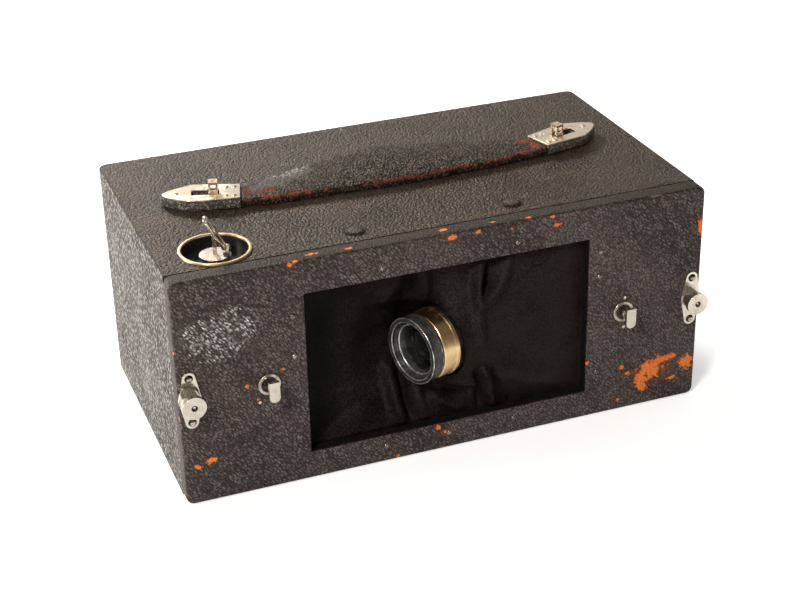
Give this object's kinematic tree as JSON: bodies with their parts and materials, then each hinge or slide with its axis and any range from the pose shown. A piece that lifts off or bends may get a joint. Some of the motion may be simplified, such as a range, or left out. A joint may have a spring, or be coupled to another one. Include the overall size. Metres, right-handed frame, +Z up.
{
  "type": "swing-lens panoramic box camera",
  "caption": "Leather-covered wooden box camera whose lens swings behind a cloth curtain to sweep a curved film, with a strap handle and folding winding key.",
  "frame": {"origin": "centre of the base, midway between the front and back faces", "axes": "+X to the right seen from the front, +Y to the back, +Z up"},
  "size_m": [0.2734, 0.1655, 0.1349],
  "materials": {
    "wood": "bare hardwood under the covering",
    "leather": "black pebbled covering, worn to tan at the edges",
    "strap_leather": "black strap leather, rubbed red-brown along its edges",
    "cloth": "thin black rubbered cloth",
    "black_metal": "black lacquer",
    "brass": "lacquered, darkened in places",
    "steel": "plain steel",
    "nickel": "warm nickel plate, slightly dulled",
    "glass": "polished",
    "red_glass": "polished",
    "film": "film with its paper backing"
  },
  "bodies": {
    "case": {"top_board": "wood", "bottom_board": "wood", "left_end_board": "wood", "right_end_board": "wood", "back_board": "wood", "front_board": "wood", "case_leather": "leather", "front_leather": "leather", "plug_caps": "leather", "curtain": "cloth", "front_tacks": "black_metal", "curtain_frame": "black_metal", "upper_film_gate": "black_metal", "lower_film_gate": "black_metal", "key_cup": "black_metal", "upper_pivot_bracket": "brass", "lower_pivot_bracket": "brass", "spring_post": "brass", "key_rim": "brass", "window_bezel": "brass", "tripod_bush": "brass", "swing_spring": "steel", "spool_pins": "steel", "handle_staples": "nickel", "post_plates": "nickel", "post_plate_screws": "nickel", "lever_rings": "nickel", "stop_pins": "nickel", "red_window": "red_glass", "film_band": "film"},
    "lens": {"lens_yoke": "steel", "lens_tube": "black_metal", "lens_flange": "brass", "lens_hood": "black_metal", "front_glass": "glass", "rear_glass": "glass", "aperture_plate": "black_metal", "slit_cone": "black_metal"},
    "winder": {"key_disc": "nickel", "key_hinge_pin": "nickel", "takeup_spool": "black_metal", "takeup_film": "film"},
    "key_wing": {"key_leaf": "nickel"},
    "supply": {"supply_spool": "black_metal", "supply_film": "film"},
    "left_roller": {"left_guide_roller": "steel"},
    "right_roller": {"right_guide_roller": "steel"},
    "handle_grip": {"handle_strap": "strap_leather"},
    "left_handle_end": {"left_handle_tab": "strap_leather", "left_handle_plate": "nickel", "left_handle_rivets": "nickel"},
    "right_handle_end": {"right_handle_tab": "strap_leather", "right_handle_plate": "nickel", "right_handle_rivets": "nickel"},
    "left_release": {"left_lever": "nickel", "left_pawl": "steel"},
    "right_release": {"right_lever": "nickel", "right_pawl": "steel"},
    "left_post": {"left_post_screw": "nickel"},
    "right_post": {"right_post_screw": "nickel"}
  },
  "joints": [
    {"name": "lens_swing", "type": "hinge", "parent": "case", "child": "lens", "pos_m": [0, -0.066, 0.0576], "axis": [0, 0, 1], "range_deg": [0, 142], "deforming": ["curtain", "swing_spring"]},
    {"name": "key_turn", "type": "hinge", "parent": "case", "child": "winder", "pos_m": [-0.10703, -0.048, 0.0576], "axis": [0, 0, 1], "continuous": true},
    {"name": "key_fold", "type": "hinge", "parent": "winder", "child": "key_wing", "pos_m": [-0.10187, -0.04988, 0.1171], "axis": [-0.342, -0.9397, 0], "range_deg": [-29, 50]},
    {"name": "supply_turn", "type": "hinge", "parent": "case", "child": "supply", "pos_m": [0.10703, -0.048, 0.0576], "axis": [0, 0, 1], "continuous": true},
    {"name": "left_roller_turn", "type": "hinge", "parent": "case", "child": "left_roller", "pos_m": [-0.11613, -0.037, 0.0576], "axis": [0, 0, 1], "continuous": true},
    {"name": "right_roller_turn", "type": "hinge", "parent": "case", "child": "right_roller", "pos_m": [0.11613, -0.037, 0.0576], "axis": [0, 0, 1], "continuous": true},
    {"name": "handle_lift", "type": "slide", "parent": "case", "child": "handle_grip", "axis": [0, 0, 1], "range_m": [0, 0.028]},
    {"name": "left_end_slide", "type": "slide", "parent": "handle_grip", "child": "left_handle_end", "axis": [0.2641, -0.0757, -0.9615], "range_m": [0, 0.02917]},
    {"name": "right_end_slide", "type": "slide", "parent": "handle_grip", "child": "right_handle_end", "axis": [-0.2641, -0.0757, -0.9615], "range_m": [0, 0.02917]},
    {"name": "left_release_turn", "type": "hinge", "parent": "case", "child": "left_release", "pos_m": [-0.0928, -0.0755, 0.0576], "axis": [0, -1, 0], "range_deg": [0, 40], "stiffness_Nm_per_rad": 0.01},
    {"name": "right_release_turn", "type": "hinge", "parent": "case", "child": "right_release", "pos_m": [0.0928, -0.0755, 0.0576], "axis": [0, -1, 0], "range_deg": [-40, 0], "stiffness_Nm_per_rad": 0.01},
    {"name": "left_post_turn", "type": "hinge", "parent": "case", "child": "left_post", "pos_m": [-0.131, -0.0755, 0.0576], "axis": [0, -1, 0], "continuous": true},
    {"name": "right_post_turn", "type": "hinge", "parent": "case", "child": "right_post", "pos_m": [0.131, -0.0755, 0.0576], "axis": [0, -1, 0], "continuous": true}
  ],
  "couplings": [
    {"joint": "supply_turn", "follows": "key_turn", "ratio": 1},
    {"joint": "left_roller_turn", "follows": "key_turn", "ratio": 3},
    {"joint": "right_roller_turn", "follows": "key_turn", "ratio": 3},
    {"joint": "left_end_slide", "follows": "handle_lift", "ratio": 1.04},
    {"joint": "right_end_slide", "follows": "handle_lift", "ratio": 1.04}
  ]
}
